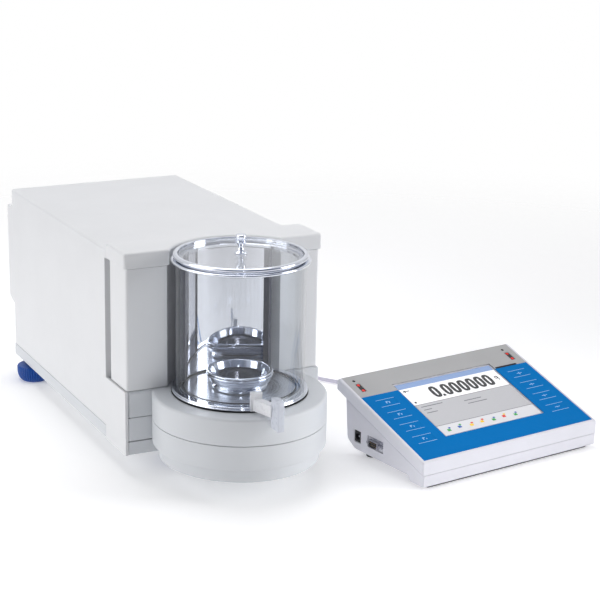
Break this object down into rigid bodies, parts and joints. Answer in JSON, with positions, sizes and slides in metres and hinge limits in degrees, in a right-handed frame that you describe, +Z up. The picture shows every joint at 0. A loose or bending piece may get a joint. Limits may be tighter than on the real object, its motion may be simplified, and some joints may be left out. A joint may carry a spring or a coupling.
{
  "type": "analytical balance",
  "caption": "Micro-balance with a round glass weighing chamber, turning door, lift-off lid, weighing cell and levelling feet, and a sloping touch terminal on a cable.",
  "frame": {"origin": "middle of the whole set's bounding box in plan, on the bench", "axes": "+Z up, +Y from the glass chamber to the rear of the weighing unit, +X towards the terminal"},
  "size_m": [0.3838, 0.4432, 0.1927],
  "materials": {
    "housing_paint": "satin off-white powder paint",
    "base_paint": "satin pale grey paint",
    "dark_plastic": "moulded black",
    "steel": "fine brushed",
    "polished_steel": "mirror-polished stainless steel",
    "chrome": "bright chrome plate",
    "aluminium": "machined",
    "iron": "plain",
    "brass": "turned",
    "copper": "enamelled copper winding",
    "chamber_glass": "clear, anti-static coating",
    "rubber": "black, matt",
    "foot_plastic": "moulded blue, ribbed",
    "handle_plastic": "moulded white",
    "circuit_board": "solder-masked",
    "terminal_plastic": "fine-textured pale grey",
    "panel_film": "printed blue and grey film",
    "key_plastic": "blue key cap under film",
    "screen": "lit display",
    "sensor_window": "dark red infrared window",
    "cable_jacket": "pale violet-grey jacket"
  },
  "bodies": {
    "housing": {"base_tray": "base_paint", "base_mid_tier": "base_paint", "base_top_cover": "base_paint", "front_column": "housing_paint", "column_cap": "housing_paint", "rear_cover": "housing_paint", "rear_box": "housing_paint", "rear_power_inlet": "dark_plastic", "rear_terminal_socket": "steel", "chamber_pedestal": "aluminium", "chamber_floor": "steel", "floor_seal": "rubber", "ring_gasket": "rubber", "top_ring": "chrome", "chamber_liner": "polished_steel", "liner_seal_right": "rubber", "liner_seal_left": "rubber", "fixed_glass": "chamber_glass", "door_motor": "iron", "cell_frame": "aluminium", "magnet_pot": "iron", "calibration_lifter": "iron", "main_board": "circuit_board", "terminal_base": "terminal_plastic", "terminal_top": "terminal_plastic", "terminal_film": "panel_film", "terminal_display": "screen", "sensor_left": "sensor_window", "sensor_right": "sensor_window", "terminal_power_jack": "dark_plastic", "terminal_data_port": "steel", "terminal_foot_left": "rubber", "terminal_foot_right": "rubber", "terminal_front_strip": "rubber", "terminal_cable": "cable_jacket"},
    "door": {"door_glass": "chamber_glass", "bottom_ring": "chrome", "door_handle": "handle_plastic"},
    "drive_roller": {"door_drive_roller": "rubber"},
    "lid": {"lid_ring": "chrome", "lid_glass": "chamber_glass", "lid_knob": "chrome"},
    "draft_ring_body": {"draft_ring": "polished_steel"},
    "stem": {"pan_stem": "brass"},
    "pan": {"weighing_pan": "steel"},
    "lever": {"cell_beam": "aluminium", "force_coil": "copper"},
    "calibration_mass_body": {"calibration_mass": "brass"},
    "foot_rear_left_body": {"foot_rear_left": "foot_plastic"},
    "foot_rear_right_body": {"foot_rear_right": "foot_plastic"},
    "foot_front_left_body": {"foot_front_left": "foot_plastic"},
    "foot_front_right_body": {"foot_front_right": "foot_plastic"},
    "key_left_1_body": {"key_left_1": "key_plastic"},
    "key_left_2_body": {"key_left_2": "key_plastic"},
    "key_left_3_body": {"key_left_3": "key_plastic"},
    "key_left_4_body": {"key_left_4": "key_plastic"},
    "key_right_1_body": {"key_right_1": "key_plastic"},
    "key_right_2_body": {"key_right_2": "key_plastic"},
    "key_right_3_body": {"key_right_3": "key_plastic"},
    "key_right_4_body": {"key_right_4": "key_plastic"}
  },
  "joints": [
    {"name": "door_turn", "type": "hinge", "parent": "housing", "child": "door", "pos_m": [-0.10111, -0.1321, 0.0685], "axis": [0, 0, 1], "range_deg": [0, 100]},
    {"name": "roller_spin", "type": "hinge", "parent": "housing", "child": "drive_roller", "pos_m": [-0.10111, -0.1702, 0.0535], "axis": [0, 0, 1], "range_deg": [0, 585]},
    {"name": "lid_lift", "type": "slide", "parent": "housing", "child": "lid", "axis": [0, 0, 1], "range_m": [0, 0.06]},
    {"name": "draft_ring_lift", "type": "slide", "parent": "housing", "child": "draft_ring_body", "axis": [0, 0, 1], "range_m": [0, 0.06]},
    {"name": "lever_tilt", "type": "hinge", "parent": "housing", "child": "lever", "pos_m": [-0.10111, -0.0041, 0.0353], "axis": [1, 0, 0], "range_deg": [-0.15, 0.15]},
    {"name": "stem_travel", "type": "slide", "parent": "housing", "child": "stem", "axis": [0, 0, 1], "range_m": [-0.0004, 0.0004]},
    {"name": "pan_lift", "type": "slide", "parent": "stem", "child": "pan", "axis": [0, 0, 1], "range_m": [0, 0.06]},
    {"name": "calibration_mass_drop", "type": "slide", "parent": "housing", "child": "calibration_mass_body", "axis": [0, 0, -1], "range_m": [0, 0.0025]},
    {"name": "foot_rear_left_turn", "type": "hinge", "parent": "housing", "child": "foot_rear_left_body", "pos_m": [-0.17611, 0.1509, 0.008], "axis": [0, 0, 1], "range_deg": [-720, 720]},
    {"name": "foot_rear_right_turn", "type": "hinge", "parent": "housing", "child": "foot_rear_right_body", "pos_m": [-0.02911, 0.1509, 0.008], "axis": [0, 0, 1], "range_deg": [-720, 720]},
    {"name": "foot_front_left_turn", "type": "hinge", "parent": "housing", "child": "foot_front_left_body", "pos_m": [-0.12811, -0.0901, 0.008], "axis": [0, 0, 1], "range_deg": [-720, 720]},
    {"name": "foot_front_right_turn", "type": "hinge", "parent": "housing", "child": "foot_front_right_body", "pos_m": [-0.07411, -0.0901, 0.008], "axis": [0, 0, 1], "range_deg": [-720, 720]},
    {"name": "key_left_1_press", "type": "slide", "parent": "housing", "child": "key_left_1_body", "axis": [-0.0464, 0.3154, -0.9478], "range_m": [0, 0.0006], "stiffness_N_per_m": 400},
    {"name": "key_left_2_press", "type": "slide", "parent": "housing", "child": "key_left_2_body", "axis": [-0.0464, 0.3154, -0.9478], "range_m": [0, 0.0006], "stiffness_N_per_m": 400},
    {"name": "key_left_3_press", "type": "slide", "parent": "housing", "child": "key_left_3_body", "axis": [-0.0464, 0.3154, -0.9478], "range_m": [0, 0.0006], "stiffness_N_per_m": 400},
    {"name": "key_left_4_press", "type": "slide", "parent": "housing", "child": "key_left_4_body", "axis": [-0.0464, 0.3154, -0.9478], "range_m": [0, 0.0006], "stiffness_N_per_m": 400},
    {"name": "key_right_1_press", "type": "slide", "parent": "housing", "child": "key_right_1_body", "axis": [-0.0464, 0.3154, -0.9478], "range_m": [0, 0.0006], "stiffness_N_per_m": 400},
    {"name": "key_right_2_press", "type": "slide", "parent": "housing", "child": "key_right_2_body", "axis": [-0.0464, 0.3154, -0.9478], "range_m": [0, 0.0006], "stiffness_N_per_m": 400},
    {"name": "key_right_3_press", "type": "slide", "parent": "housing", "child": "key_right_3_body", "axis": [-0.0464, 0.3154, -0.9478], "range_m": [0, 0.0006], "stiffness_N_per_m": 400},
    {"name": "key_right_4_press", "type": "slide", "parent": "housing", "child": "key_right_4_body", "axis": [-0.0464, 0.3154, -0.9478], "range_m": [0, 0.0006], "stiffness_N_per_m": 400}
  ],
  "couplings": [
    {"joint": "roller_spin", "follows": "door_turn", "ratio": 5.8},
    {"joint": "stem_travel", "follows": "lever_tilt", "m_per_rad": -0.128}
  ]
}
